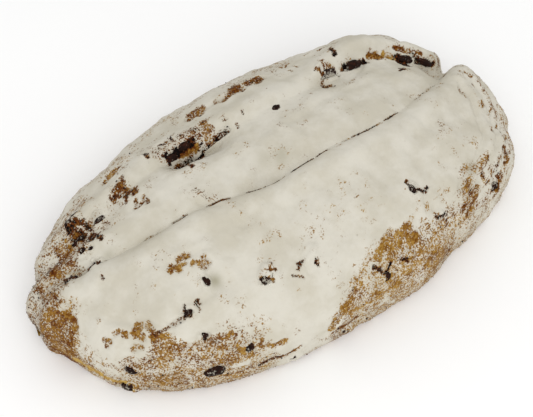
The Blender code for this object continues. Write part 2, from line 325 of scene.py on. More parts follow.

# Hollows where the sugar is painted darker as their shade: bearing, reach, radius in mm, strength.
SHADED_HOLLOWS = (
    (-133, 0.41, 3.6, 1.0),
    (-128, 0.01, 5, 0.6),
    (160, 0.04, 5, 0.4),
    (174, 0.54, 3.5, 0.8),
    (176, 0.43, 3, 0.5),
    (123, 0.30, 1.8, 1.0),
    (-47, 0.56, 4, 0.5),
)

# Width over which crust and sugar run into each other where one dips below the other.
SOFT_JOIN = 0.00012

# Grid of a raisin: rings between its poles, and points on each.
RAISIN_RINGS = 23
RAISIN_SIDES = 48

# Camera: where it looks, from how far and in which direction, with its lens and sensor in mm.
LOOK_AT = (-0.0092, -0.0043, 0.030)
CAMERA_BEARING = -33.9
CAMERA_HEIGHT = 55.0
CAMERA_DISTANCE = 0.6775
CAMERA_LENS = 85.0
SENSOR_WIDTH = 36.0

NUMBER, VECTOR, COLOUR = "NodeSocketFloat", "NodeSocketVector", "NodeSocketColor"


# ---------------------------------------------------------------- shapes


def bell(value, middle, spread):
    """A smooth hump that is 1 at the middle and falls off over the spread."""
    return np.exp(-(((value - middle) / spread) ** 2))


def blend(low, high, value):
    """0 at low, 1 at high and a smooth S between them."""
    share = np.clip((value - low) / (high - low), 0, 1)
    return share * share * (3 - 2 * share)


def lattice_value(cell, seed):
    """A fixed pseudo-random number from 0 to 1 for each whole-number corner of space."""
    cell = cell.astype(np.int64)
    mixed = cell[..., 0] * 374761393 + cell[..., 1] * 668265263 + cell[..., 2] * 1442695041 + seed * 974711
    mixed = (mixed ^ (mixed >> 13)) * 1274126177 & 0x7FFFFFFF
    mixed = (mixed ^ (mixed >> 15)) * 2246822519 & 0x7FFFFFFF
    return (mixed ^ (mixed >> 16) & 0xFFFF) / float(0x7FFFFFFF)


def cloud(points, size, seed):
    """Smooth noise from 0 to 1: corner values of cubes of this size, mixed by a quintic S."""
    turned = points @ np.array([[0.80, 0.36, -0.48], [-0.60, 0.48, -0.64], [0.0, 0.80, 0.60]])
    scaled = turned / size + 37.7 * seed
    cell = np.floor(scaled)
    part = scaled - cell
    part = part * part * part * (part * (part * 6 - 15) + 10)
    total = 0.0
    for corner in range(8):
        step = np.array([corner & 1, corner >> 1 & 1, corner >> 2 & 1])
        weight = np.prod(np.where(step, part, 1 - part), axis=-1)
        total = total + weight * lattice_value(cell + step, seed)
    return total


def billow(points, size, seed, octaves=3):
    """Sum of clouds, each half as large and half as strong as the one before, spread over 0 to 1."""
    total = 0.0
    weight = 0.0
    for octave in range(octaves):
        total = total + cloud(points, size / 2**octave, seed + octave) / 2**octave
        weight += 1 / 2**octave
    return np.clip((total / weight - 0.5) * 1.6 + 0.5, 0, 1)


def spray(points, size, seed):
    """Three clouds, one along each axis, to push points about."""
    return np.stack([cloud(points, size, seed + axis) for axis in range(3)], axis=-1)


def ridges(points, size, seed):
    """Noise with sharp crests: 1 where a cloud passes its middle value, 0 far from it."""
    return 1 - np.abs(2 * cloud(points, size, seed) - 1)


def outline(bearing):
    """Radius of the plan at a bearing, where an ellipse would be 1: a superellipse and its swells."""
    side = np.abs(np.cos(bearing)) ** OUTLINE_POWER + np.abs(np.sin(bearing)) ** OUTLINE_POWER
    radius = side ** (-1 / OUTLINE_POWER)
    for middle, spread, amount in OUTLINE_SWELLS:
        off = np.angle(np.exp(1j * (bearing - math.radians(middle))))
        radius = radius * (1 + amount * bell(off, 0, math.radians(spread)))
    return radius


def dome(p, q):
    """Smooth loaf over the disc: quarter waves up from the rim to the crown and under to the base."""
    reach = np.hypot(p, q)
    bearing = np.arctan2(q, p)
    climb = np.clip(reach / RIM_REACH, 0, 1) * math.pi / 2
    tuck = np.clip((reach - RIM_REACH) / (1 - RIM_REACH), 0, 1) * math.pi / 2
    spread = np.sin(climb) * (1 - TUCK_UNDER * (1 - np.cos(tuck))) * outline(bearing)
    crown = (HEIGHT - RIM_HEIGHT) * np.clip(np.cos(climb), 0, 1) ** DOME_POWER
    z = RIM_HEIGHT * (1 - np.sin(tuck)) + crown
    x = LENGTH / 2 * spread * np.cos(bearing)
    y = WIDTH / 2 * spread * np.sin(bearing)
    return np.stack([x, y, z], axis=-1)


def fold_line(u):
    """v of the edge where the big front lobe folds over the middle of the loaf."""
    bends = 0.05 * bell(u, -0.42, 0.16) - 0.04 * bell(u, 0.45, 0.2) + 0.13 * bell(u, 0.95, 0.14)
    return -0.16 + 0.30 * u**2 + bends


def tear_line(u):
    """v of the line where the crust has torn along the back of the loaf."""
    ends = -0.15 * bell(u, 0.86, 0.10) - 0.10 * bell(u, -0.85, 0.20)
    return 0.37 + ends + 0.05 * bell(u, -0.32, 0.15) + 0.10 * bell(u, 0.55, 0.20)


def fold_depth(u):
    """Depth of the valley behind the front lobe."""
    pits = 0.0025 * bell(u, -0.10, 0.12) + 0.0015 * bell(u, -0.58, 0.12) + 0.0012 * bell(u, 0.86, 0.10)
    shallow = 0.0020 * bell(u, -0.27, 0.06) + 0.0018 * blend(0.00, 0.20, u) * blend(0.80, 0.65, u)
    return (0.0040 + pits - shallow) * blend(-0.98, -0.80, u)


def first_tear(u):
    """How open the tear near the blunt end is, from 0 to 1."""
    return blend(-0.40, -0.32, u) * blend(-0.08, -0.20, u)


def second_tear(u):
    """How open the tear near the notched end is, from 0 to 1."""
    return blend(0.24, 0.34, u) * blend(0.90, 0.80, u)


def valley(off, depth, front, back):
    """A furrow across an offset, with its own half-width on either side."""
    return -depth * np.exp(-((off / np.where(off < 0, front, back)) ** 2))


def relief(u, v, reach):
    """Height of folds, tears and lumps over the smooth loaf.

    They die out down the walls, the fold lower down at the notched end than elsewhere.
    """
    from_fold = (v - fold_line(u)) * WIDTH / 2
    from_tear = (v - tear_line(u)) * WIDTH / 2
    down_wall = blend(0.90, 0.62, reach)
    tear_depth = 0.0025 + 0.0085 * first_tear(u) + 0.0036 * second_tear(u)
    notched = blend(0.5, 0.8, u)
    down_notch = blend(0.90 + 0.08 * notched, 0.62 + 0.14 * notched, reach)
    height = valley(from_fold, fold_depth(u) * down_notch, 0.0028, 0.0095)
    height = height + 0.0025 * bell(from_fold, -0.008, 0.006) * down_wall
    before_tear = 0.0095 + 0.0060 * blend(0.20, 0.40, u)
    height = height + valley(from_tear, tear_depth * down_wall, before_tear, 0.0032)
    height = height + 0.0022 * bell(from_tear, 0.008, 0.006) * down_wall
    for lump_u, lump_v, radius, rise in DOUGH_LUMPS:
        away = np.hypot((u - lump_u) * LENGTH / 2, (v - lump_v) * WIDTH / 2)
        height = height + rise * bell(away, 0, radius)
    x = u * LENGTH / 2
    y = v * WIDTH / 2
    waves = np.sin(2 * np.pi * (x / 0.047 + y / 0.071)) * np.sin(2 * np.pi * (y / 0.039 - x / 0.083) + 1)
    ripples = np.sin(2 * np.pi * (x / 0.019 - y / 0.043)) * np.sin(2 * np.pi * (y / 0.021 + x / 0.037) + 2)
    return height + 0.0008 * waves + 0.0004 * ripples


def normals_of(p, q):
    """Outward directions of the dome, from its slopes along p and q."""
    step = 1e-4
    along = dome(p + step, q) - dome(p - step, q)
    across = dome(p, q + step) - dome(p, q - step)
    normal = np.cross(along, across)
    return normal / np.linalg.norm(normal, axis=-1, keepdims=True)


def plan(point):
    """(u, v) of points of the dome."""
    return point[..., 0] * 2 / LENGTH, point[..., 1] * 2 / WIDTH


def broad_surface(p, q):
    """Dome with its folds and lumps, before it is fitted to the frame, and its normals."""
    point = dome(p, q)
    normal = normals_of(p, q)
    reach = np.hypot(p, q)
    height = relief(*plan(point), reach) * blend(1.0, 0.88, reach)
    return point + normal * height[..., None], normal


def square_to_disc(s, t):
    """Elliptical map of the square to the disc, then drawn in round the crown for even spacing."""
    p = s * np.sqrt(1 - t**2 / 2)
    q = t * np.sqrt(1 - s**2 / 2)
    share = np.clip(np.hypot(p, q) / RIM_REACH, 0, 1)
    draw = CROWN_SPACING + (1 - CROWN_SPACING) * share**2
    return p * draw, q * draw


def fit_to_frame():
    """Origin and stretch that bring the broad surface to the box of the frame's loaf."""
    line = np.linspace(-1, 1, 161)
    points, _ = broad_surface(*square_to_disc(*np.meshgrid(line, line, indexing="ij")))
    low = points.min(axis=(0, 1))
    high = points.max(axis=(0, 1))
    origin = np.array([(low[0] + high[0]) / 2, (low[1] + high[1]) / 2, low[2]])
    stretch = (LOAF_HIGH - LOAF_LOW) / (high - low)
    middle = (LOAF_LOW + LOAF_HIGH) / 2 * np.array([1, 1, 0])
    return origin, stretch, middle, ((points - origin) * stretch + middle).reshape(-1, 3)


ORIGIN, STRETCH, MIDDLE, BROAD = fit_to_frame()


def fitted(points):
    """Points brought into the frame."""
    return (points - ORIGIN) * STRETCH + MIDDLE


def spots(path):
    """Points of the broad surface, in the frame, at a path of bearings in degrees and reaches."""
    bearing, reach = np.radians([place[0] for place in path]), np.array([place[1] for place in path])
    points, _ = broad_surface(reach * np.cos(bearing), reach * np.sin(bearing))
    return fitted(points)


def along_path(points, path):
    """Distance of each point from a path, and how far it lies to the path's left, seen from outside."""
    ends = spots(path)
    nearest = np.full(points.shape[:-1], np.inf)
    side = np.zeros(points.shape[:-1])
    for start, end in zip(ends[:-1], ends[1:]):
        run = end - start
        share = np.clip(((points - start) @ run) / (run @ run), 0, 1)
        gap = points - start - share[..., None] * run
        away = np.linalg.norm(gap, axis=-1)
        out = (start + end) / 2 * np.array([0.6, 1.4, 1.0])
        left = np.cross(out / np.linalg.norm(out), run / np.linalg.norm(run))
        closer = away < nearest
        side = np.where(closer, gap @ left, side)
        nearest = np.minimum(nearest, away)
    return nearest, side


# ---------------------------------------------------------------- skin


def strewn_marks():
    """Marks drawn round the middle of each cluster: a start, a bend and an end, or one spot at length 0."""
    rng = np.random.default_rng(MARK_SEED)
    size = (MARK_SCALE * LENGTH, MARK_SCALE * WIDTH)
    marks = []
    for bearing, turn, reach, width, count, span, radius, bare, tone in BARE_CLUSTERS:
        for _ in range(count):
            angle = math.radians(bearing + turn * rng.uniform(-1, 1))
            out = reach + width * rng.uniform(-1, 1)
            heading = rng.uniform(0, math.pi)
            bend = rng.uniform(-0.7, 0.7)
            middle = np.array([math.cos(angle), math.sin(angle)]) * out
            half = span * MM * rng.uniform(0.6, 1.3) / 2
            path = []
            for side in [-1, 0, 1] if span else [0]:
                way = heading + side * bend
                p, q = middle + side * half * np.array([math.cos(way), math.sin(way)]) / size
                path.append((math.degrees(math.atan2(q, p)), math.hypot(p, q)))
            marks.append((path, radius, bare, tone))
    return marks


def layered_creases():
    """Creases that run one below the other round the notched end."""
    creases = []
    for reach in LAYER_REACHES:
        path = [(bearing, reach + LAYER_GROWTH * (LAYER_BEARINGS[0] - bearing)) for bearing in LAYER_BEARINGS]
        creases.append((path, *LAYER_CREASE))
    return creases


class Skin:
    """One stretch of the loaf's skin, worked out as arrays over a grid."""

    def __init__(self, p, q, settings):
        self.reach = np.hypot(p, q)
        self.bearing = np.degrees(np.arctan2(q, p))
        broad, self.normal = broad_surface(p, q)
        self.u, self.v = plan(dome(p, q))
        self.place = fitted(broad)
        self.from_fold = (self.v - fold_line(self.u)) * WIDTH / 2
        self.from_tear = (self.v - tear_line(self.u)) * WIDTH / 2
        self.sugar_depth = settings.sugar_depth
        self.work_out()

    def blanket(self, rough, fine):
        """How bare the crust is beyond the blanket's edge, which two clouds bend, and that crust's tone."""
        drift = billow(self.place, 0.020, 29, 2)
        stops = np.array(BLANKET_EDGE, float)
        edge, beyond, shade = (
            np.interp(self.bearing, stops[:, 0], stops[:, column], period=360) for column in (1, 2, 3)
        )
        past = blend(-0.07, 0.07, self.reach - edge + 0.16 * rough + 0.05 * fine)
        bare = 0.02 * drift + beyond * (0.70 + 0.60 * drift) * past
        return bare, shade + 0.35 * (billow(self.place, 0.016, 23) - 0.5)

    def marks(self):
        """Each mark's distance from the points, pushed about by clouds, and its radius, bareness and tone."""
        coarse = 0.0014 * (spray(self.place, 0.0036, 101) - 0.5)
        ragged = self.place + coarse + 0.0010 * (spray(self.place, 0.0015, 111) - 0.5)
        for path, *rest in (*BARE_AND_SHADED_PLACES, *strewn_marks()):
            yield along_path(ragged, path)[0], *rest
        for start, end, *rest in FOLD_MARKS:
            past_end = np.maximum(0, np.maximum(start - self.u, self.u - end)) * LENGTH / 2
            yield np.hypot(self.from_fold, past_end), *rest

    def cover_and_tone(self):
        """Cover: 1 under full sugar, 0 on bare crust. Tone: golden at 0 to dark at 1, and above it burnt,
        which also paints the shade of the first tear's hollow.

        The crust shows beyond the blanket's edge and in the marks, and less under heaps of sugar. Small
        marks also collect crumbs, the darker ones more.
        """
        place = self.place
        rough = billow(place, 0.007, 11) - 0.5
        fine = billow(place, 0.0022, 17) - 0.5
        broken = 0.70 + 0.30 * blend(0.30, 0.55, billow(place, 0.0017, 47, 2))
        dotted = 0.40 + 0.60 * blend(0.40, 0.56, billow(place, 0.0014, 57, 2))
        streaked = 0.55 + 0.45 * blend(0.26, 0.46, billow(place, 0.0026, 53, 2))
        bare, tone = self.blanket(rough, fine)
        self.crumbly = np.zeros_like(self.u)
        for away, radius, most, dark in self.marks():
            away = away / (radius * MM) + 0.5 * rough
            if radius < BROKEN_MARK:
                amount = most**0.65 * (dotted if radius < DOTTED_MARK else broken)
            else:
                amount = most * (streaked if dark > 1 else 0.94)
            amount = amount * blend(1.6, 0.55, away)
            shade = min(dark, 0.55) + max(dark - 0.55, 0) * blend(1.45, 0.75, away)
            tone = tone + (shade - tone) * blend(2.3, 1.3, away) * blend(-0.15, 0.10, amount - bare)
            bare = np.maximum(bare, amount)
            if radius < CRUMBLY_MARK:
                near = blend(1.8, 0.5, away) * blend(0.60, 1.0, dark)
                self.crumbly = np.maximum(self.crumbly, near / max(radius, 0.8))
        for path, radius in SUGAR_HEAPS:
            away = along_path(place, path)[0] / (radius * MM)
            bare = bare * (1 - 0.85 * blend(1.35, 0.45, away + 0.9 * rough + 0.5 * fine))
        return 1 - bare, tone

    def hidden_side_cover(self):
        """Cover of the back wall: broad bare patches low down, as on the front."""
        patches = billow(self.place, 0.030, 31, 4)
        low = blend(0.74, 0.92, self.reach)
        back = blend(0, 25, self.bearing) * blend(178, 150, self.bearing)
        return 1 - 0.85 * blend(0.50, 0.66, patches) * low * back

    def seam_cover(self):
        """Cover along the fold's lip, a little specked, and how far a point lies inside an open tear."""
        patch = billow(self.place, 0.009, 41)
        speck = billow(self.place, 0.0016, 43)
        lip = bell(self.from_fold, -0.0004, 0.0016) * blend(0.92, 0.84, self.reach)
        specks = 0.38 * lip * blend(0.52, 0.72, patch) * blend(0.35, 0.60, speck)
        depth = blend(-0.0060, -0.0020, self.from_tear) * blend(0.0046, 0.0020, self.from_tear)
        torn = depth * np.clip(first_tear(self.u) + second_tear(self.u), 0, 1)
        return 1 - specks, torn

    def over_raisins(self):
        """Skin over the raisins: it climbs over their caps where a cloud is high, and dips elsewhere."""
        height = np.zeros_like(self.u)
        broken = billow(self.place, 0.0045, 91, 2)
        for form, (shown, _) in zip(RAISIN_FORMS, RAISINS_SHOWN):
            gap = self.place - form.centre
            out = np.hypot(*(gap @ form.axes[:2].T / (form.sizes[:2] / 2)).transpose(2, 0, 1))
            out = np.where(np.linalg.norm(gap, axis=-1) > 2 * form.sizes[0], 9.0, out)
            cap = form.top * np.sqrt(np.clip(1 - (out / 1.15) ** 2, 0, 1))
            hidden = blend(shown - 0.10, shown + 0.10, broken + 0.35 * (out - 0.6))
            climb = hidden * (cap + 0.0004 * bell(out, 0.6, 0.6))
            height = height + climb - (1 - hidden) * 0.0006 * bell(out, 0, 1)
        return height

    def crust_height(self, torn):
        """Creases with their lips, and the crust's bumps: a billow and ridges, crinkled at the notched end.

        Torn dough, where the sugar is off it, is crumbly as well.
        """
        place = self.place
        creases = np.zeros_like(self.u)
        for path, depth, width, lip in (*CREASES, *layered_creases()):
            away, side = along_path(place, path)
            creases = creases - depth * MM * bell(away, 0, width * MM)
            offset = away * np.sign(side) * np.sign(lip)
            creases = creases + abs(lip) * MM * bell(offset, 2.2 * width * MM, 1.4 * width * MM)
        bumps = 0.0009 * (billow(place, 0.0045, 61, 3) - 0.5) + 0.0006 * (ridges(place, 0.010, 67) - 0.5)
        rim = bell(self.bearing, *NOTCHED_END) * blend(0.46, 0.58, self.reach)
        crinkle = 0.0016 * (ridges(place, 0.0065, 97) - 0.6) + 0.0010 * (billow(place, 0.005, 83) - 0.5)
        crumb = torn * 0.0032 * (billow(place, 0.0032, 71, 3) - 0.5)
        return creases, bumps + rim * crinkle, crumb

    def hollow_shading(self):
        """Painted shade of the hollows: 1 in the middle of a hollow, falling off as a bell over its radius,
        times its strength.
        """
        hollow_shade = np.zeros_like(self.u)
        for bearing, reach, radius, strength in SHADED_HOLLOWS:
            away = np.linalg.norm(self.place - spots(((bearing, reach),))[0], axis=-1)
            hollow_shade = np.maximum(hollow_shade, strength * bell(away, 0, radius * MM))
        return hollow_shade

    def work_out(self):
        """Skin = the higher of rough crust and sugar, moved along the normal of the broad surface.

        At the fold it leans over the valley, and at the first tear its edge hangs.
        """
        place = self.place
        cover, tone = self.cover_and_tone()
        seam, torn = self.seam_cover()
        wall = 1 - blend(0.93, 0.99, self.reach) * billow(place, 0.008, 53) ** 0.5
        cover = cover * seam * wall * self.hidden_side_cover()
        creases, bumps, crumb = self.crust_height(torn * (1 - cover))
        crust = creases + bumps + crumb
        powder = 0.00045 * (billow(place, 0.013, 73, 3) - 0.5)
        powder = powder + 0.00012 * (billow(place, 0.0022, 79, 2) - 0.5)
        depth = self.sugar_depth * (2.1 * cover - 1.1)
        gain = 0.75 * creases + 0.55 * bumps + powder + depth - crust
        top = crust + SOFT_JOIN * np.logaddexp(0, gain / SOFT_JOIN)
        self.margin = np.clip(0.5 + gain / (2.2 * self.sugar_depth), 0, 1)
        self.tone = np.clip(tone, -0.2, 1.4)
        # Shade painted into the hollows, kept for the material.
        self.hollow_shade = self.hollow_shading()
        height = (top + self.over_raisins()) * blend(1.0, 0.985, self.reach)
        lean = 0.0016 * bell(self.from_fold, -0.0015, 0.0030) * blend(0.85, 0.60, self.reach)
        hang = -0.0026 * bell(self.from_tear, 0.0030, 0.0025) * first_tear(self.u)
        self.points = place + self.normal * height[..., None]
        self.points[..., 1] += lean + hang
        self.points[..., 2] = np.maximum(self.points[..., 2], LOAF_LOW[2])


def crossing(s, line):
    """t at which a line of the square at s crosses a fold given as v over u."""
    t = np.linspace(-1, 1, 800)
    u, v = plan(dome(*square_to_disc(np.full_like(t, s), t)))
    return np.interp(0, v - line(u), t)


def crowded(steps):
    """Shares from 0 to 1 that crowd at both ends: a straight line mixed with a smooth S."""
    even = np.linspace(0, 1, steps + 1)
    return (1 - CROWDING) * even + CROWDING * blend(0, 1, even)


class RaisinForm:
    """Where a raisin of the frame lies: its centre, its axes as rows, its sizes and how far it stands out."""

    def __init__(self, node):
        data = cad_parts[node].data
        points = np.empty(len(data.vertices) * 3)
        data.vertices.foreach_get("co", points)
        points = points.reshape(-1, 3)
        _, _, axes = np.linalg.svd(points - points.mean(axis=0), full_matrices=False)
        outward = points.mean(axis=0) - (LOAF_LOW + LOAF_HIGH) / 2 * np.array([1, 1, 0.5])
        axes[2] *= np.sign(axes[2] @ outward)
        axes[1] = np.cross(axes[2], axes[0])
        spread = points @ axes.T
        self.axes = axes
        self.sizes = np.ptp(spread, axis=0)
        self.centre = (spread.max(axis=0) + spread.min(axis=0)) / 2 @ axes
        nearest = BROAD[np.argmin(np.linalg.norm(BROAD - self.centre, axis=-1))]
        self.top = max(self.sizes[2] / 2 + (self.centre - nearest) @ axes[2], 0.0003)


RAISIN_FORMS = [RaisinForm(name) for name in RAISIN_NODES]


def new_mesh(name, points, faces):
    """A mesh from an array of points and arrays of faces, all smooth."""
    mesh = bpy.data.meshes.new(name)
    mesh.from_pydata(points.tolist(), [], faces)
    mesh.shade_smooth()
    return mesh


def put(mesh, name, value):
    """Stores one number for each point of a mesh."""
    layer = mesh.attributes.new(name, "FLOAT", "POINT")
    layer.data.foreach_set("value", np.ascontiguousarray(value, np.float32).ravel())


def piece(name, mesh, material):
    """An object that rides on the loaf's body."""
    mesh.materials.append(material)
    obj = bpy.data.objects.new(name, mesh)
    bpy.context.scene.collection.objects.link(obj)
    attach(obj, "root")
    return obj


def skin_piece(name, skin, first, last, material):
    """Closes a stretch of skin: walls hang from its seams to the ground, and a flat underside joins them.

    first and last say whether the stretch starts or ends at the edge of the underside.
    """
    rows, columns = skin.points.shape[:2]
    order = np.arange(rows * columns).reshape(rows, columns)
    corners = (order[:-1, :-1], order[1:, :-1], order[1:, 1:], order[:-1, 1:])
    quads = np.stack([corner.ravel() for corner in corners], axis=-1).tolist()
    points = [skin.points.reshape(-1, 3)]
    count = rows * columns
    feet = {}
    for column, at_edge in ((0, first), (columns - 1, last)):
        if at_edge:
            feet[column] = order[:, column]
            continue
        foot = skin.points[1:-1, column].copy()
        foot[:, 2] = LOAF_LOW[2]
        points.append(foot)
        lower = np.concatenate([[order[0, column]], np.arange(count, count + rows - 2), [order[-1, column]]])
        count += rows - 2
        feet[column] = lower
        upper = order[:, column]
        wall = np.stack([upper[:-1], lower[:-1], lower[1:], upper[1:]], axis=-1)
        if column != 0:
            wall = wall[:, ::-1]
        quads += [list(dict.fromkeys(face)) for face in wall.tolist()]
    near, far = feet[0], feet[columns - 1]
    rim = np.concatenate([near[:-1], order[-1, :-1], far[:0:-1], order[0, :0:-1]])
    quads.append(list(dict.fromkeys(rim[::-1].tolist())))
    mesh = new_mesh(name, np.concatenate(points), quads)
    mesh.polygons[len(mesh.polygons) - 1].use_smooth = False
    padding = count - rows * columns
    for key in SKIN_VALUES:
        put(mesh, key, np.concatenate([getattr(skin, key).ravel(), np.zeros(padding)]))
    mesh.set_sharp_from_angle(angle=math.radians(50))
    return piece(name, mesh, material)


# ---------------------------------------------------------------- raisins and grains


def raisin_points(form, seed, wrinkle):
    """Ellipsoid over longitude and latitude. Furrows run along it: radius = 1 - wrinkle * ridge ** 2.

    Finer furrows and a slow cloud dent the whole body as well.
    """
    longitude = np.linspace(0, 2 * np.pi, RAISIN_SIDES, endpoint=False)
    latitude = np.linspace(-np.pi / 2, np.pi / 2, RAISIN_RINGS + 2)[1:-1]
    lat, lon = np.meshgrid(latitude, longitude, indexing="ij")
    ball = np.stack([np.sin(lat), np.cos(lat) * np.cos(lon), np.cos(lat) * np.sin(lon)], axis=-1)
    ball = np.concatenate([[[-1.0, 0, 0]], ball.reshape(-1, 3), [[1.0, 0, 0]]])
    furrow = ridges(ball * np.array([0.45, 1, 1]), 0.55, seed) ** 2
    fine = ridges(ball * np.array([0.6, 1, 1]), 0.25, seed + 1) ** 2
    dent = cloud(ball, 0.9, seed + 2) - 0.5
    radius = 1.04 - wrinkle * furrow - 0.35 * wrinkle * fine + 0.22 * dent
    return form.centre + ball * radius[:, None] * form.sizes / 2 @ form.axes


def raisin_faces():
    """Quads between rings of latitude, and a fan of triangles at each pole."""
    count = RAISIN_SIDES
    north_pole = RAISIN_RINGS * count + 1
    order = np.arange(1, north_pole).reshape(RAISIN_RINGS, count)
    turned = np.roll(order, -1, axis=1)
    quads = np.stack([order[:-1], turned[:-1], turned[1:], order[1:]], axis=-1).reshape(-1, 4)
    south = np.stack([np.zeros(count, int), turned[0], order[0]], axis=-1)
    north = np.stack([np.full(count, north_pole), order[-1], turned[-1]], axis=-1)
    return quads[:, ::-1].tolist() + south[:, ::-1].tolist() + north[:, ::-1].tolist()


def grain_mesh(name, places, sizes, seed):
    """Rough grains joined in one mesh: icosahedra with each corner pushed in or out, turned at random."""
    rng = np.random.default_rng(seed)
    gold = (1 + 5**0.5) / 2
    corners = np.array(
        [(0, a, b * gold) for a in (-1, 1) for b in (-1, 1)]
        + [(a, b * gold, 0) for a in (-1, 1) for b in (-1, 1)]
        + [(b * gold, 0, a) for a in (-1, 1) for b in (-1, 1)]
    ) / math.hypot(1, gold)
    triples = [
        (i, j, k)
        for i in range(len(corners))
        for j in range(i + 1, len(corners))
        for k in range(j + 1, len(corners))
        if max(np.linalg.norm(corners[[i, j, k]] - corners[[j, k, i]], axis=1)) < 1.2
    ]
    faces = np.array(
        [(i, j, k) if np.linalg.det(corners[[i, j, k]]) > 0 else (i, k, j) for i, j, k in triples]
    )
    count = len(places)
    turn = rng.normal(size=(count, 4))
    turn /= np.linalg.norm(turn, axis=1, keepdims=True)
    w, x, y, z = turn.T
    spin = np.array(
        [
            [1 - 2 * (y * y + z * z), 2 * (x * y - z * w), 2 * (x * z + y * w)],
            [2 * (x * y + z * w), 1 - 2 * (x * x + z * z), 2 * (y * z - x * w)],
            [2 * (x * z - y * w), 2 * (y * z + x * w), 1 - 2 * (x * x + y * y)],
        ]
    ).transpose(2, 0, 1)
    shape = corners * (1 + 0.28 * rng.uniform(-1, 1, (count, len(corners), 1)))
    shape = shape * rng.uniform(0.65, 1.0, (count, 1, 3))
    points = np.einsum("nij,nkj->nki", spin, shape) * sizes[:, None, None] / 2 + places[:, None, :]
    joined = (faces[None] + len(corners) * np.arange(count)[:, None, None]).reshape(-1, 3)
    mesh = new_mesh(name, points.reshape(-1, 3), joined.tolist())
    put(mesh, "shade", np.repeat(rng.uniform(0, 1, count), len(corners)))
    return mesh


def skin_arrays():
    """Points, outward directions and stored values of all the skin pieces, one row for each point."""
    found = []
    for name in SKIN_PIECES:
        if name not in bpy.data.objects:
            raise RuntimeError(f"{name} isn't there: make the skin first")
        mesh = bpy.data.objects[name].data
        row = {}
        for key, source in (("place", "co"), ("normal", "normal")):
            values = np.empty(len(mesh.vertices) * 3, np.float32)
            mesh.vertices.foreach_get(source, values)
            row[key] = values.reshape(-1, 3).astype(float)
        for key in SKIN_VALUES:
            values = np.empty(len(mesh.vertices), np.float32)
            mesh.attributes[key].data.foreach_get("value", values)
            row[key] = values.astype(float)
        found.append(row)
    return {key: np.concatenate([row[key] for row in found]) for key in found[0]}


def strewn_mesh(name, skin, weight, grains, sink, seed):
    """Grains at points drawn by weight, moved a little and set into the skin by a share of their size."""
    rng = np.random.default_rng(seed)
    weight = weight * (skin["place"][:, 2] > LOAF_LOW[2] + 0.0015)
    chosen = rng.choice(len(weight), grains.count, p=weight / weight.sum())
    sizes = grains.smallest + (grains.largest - grains.smallest) * rng.uniform(0, 1, grains.count) ** 2.2
    places = skin["place"][chosen] + rng.uniform(-0.0003, 0.0003, (grains.count, 3))
    places = places + skin["normal"][chosen] * (sizes * (0.5 - sink))[:, None]
    return grain_mesh(name, places, sizes, seed + 1)


# ---------------------------------------------------------------- materials


class Board:
    """A node tree with short ways to add nodes to it and join them."""

    def __init__(self, tree):
        self.tree = tree

    def node(self, kind, inputs=None, **settings):
        """Adds a node, sets its properties and feeds its sockets, which go by name or number."""
        made = self.tree.nodes.new(kind)
        made.location = (190 * (len(self.tree.nodes) % 9), -220 * (len(self.tree.nodes) // 9))
        for key, value in settings.items():
            setattr(made, key, value)
        for key, value in (inputs or {}).items():
            self.feed(made.inputs[key], value)
        return made

    def feed(self, socket, value):
        """Links a socket into another one, or sets a constant on it."""
        if isinstance(value, bpy.types.NodeSocket):
            self.tree.links.new(value, socket)
        else:
            socket.default_value = value

    def math(self, operation, *values):
        """Result of one operation on one to three values."""
        return self.node("ShaderNodeMath", dict(enumerate(values)), operation=operation).outputs[0]

    def noise(self, vector, size, detail=2.0, rough=0.55):
        """Noise from 0 to 1 with features of this size."""
        inputs = {"Vector": vector, "Scale": 1 / size, "Detail": detail, "Roughness": rough}
        return self.node("ShaderNodeTexNoise", inputs).outputs["Fac"]

    def ramp(self, value, low, high, to_low=0.0, to_high=1.0):
        """A smooth S from one number at low to another at high."""
        inputs = {"Value": value, "From Min": low, "From Max": high, "To Min": to_low, "To Max": to_high}
        return self.node("ShaderNodeMapRange", inputs, interpolation_type="SMOOTHSTEP").outputs["Result"]

    def mix(self, factor, low, high):
        """One colour at factor 0 and another at 1."""
        return self.node("ShaderNodeMix", {0: factor, 6: low, 7: high}, data_type="RGBA").outputs[2]

    def value(self, name):
        """A number that the mesh stores for each point."""
        return self.node("ShaderNodeAttribute", attribute_name=name).outputs["Fac"]

    def group(self, tree, inputs):
        """Outputs of a node group."""
        return self.node("ShaderNodeGroup", inputs, node_tree=tree).outputs


def new_group(name, inputs, outputs):
    """An empty group with the given sockets: name, kind and, for an input, its default."""
    tree = bpy.data.node_groups.new(name, "ShaderNodeTree")
    for label, kind, default in inputs:
        socket = tree.interface.new_socket(label, in_out="INPUT", socket_type=kind)
        if default is not None:
            socket.default_value = default
    for label, kind in outputs:
        tree.interface.new_socket(label, in_out="OUTPUT", socket_type=kind)
    board = Board(tree)
    return board, board.node("NodeGroupInput").outputs, board.node("NodeGroupOutput").inputs


def dusting_group():
    """Mask of sugar: a cover from 0 to 1, broken up by clumps and by single grains."""
    if "dusting" in bpy.data.node_groups:
        return bpy.data.node_groups["dusting"]
    sockets = (
        ("Vector", VECTOR, None),
        ("Cover", NUMBER, 0.5),
        ("Clumps", NUMBER, 0.5),
        ("Grains", NUMBER, 0.3),
        ("Softness", NUMBER, 0.1),
    )
    board, given, out = new_group("dusting", sockets, (("Mask", NUMBER),))
    clumps = board.ramp(board.noise(given["Vector"], 0.0027, 3.0, 0.6), 0.30, 0.70, -0.5, 0.5)
    grains = board.ramp(board.noise(given["Vector"], 0.0009, 1.5, 0.6), 0.30, 0.70, -0.5, 0.5)
    both = board.math("MULTIPLY", clumps, given["Clumps"])
    both = board.math("MULTIPLY_ADD", grains, given["Grains"], both)
    thin = board.ramp(given["Cover"], 1.0, 0.75)
    level = board.math("MULTIPLY_ADD", both, thin, given["Cover"])
    low = board.math("SUBTRACT", 0.5, given["Softness"])
    high = board.math("ADD", 0.5, given["Softness"])
    board.feed(out["Mask"], board.ramp(level, low, high))
    return board.tree


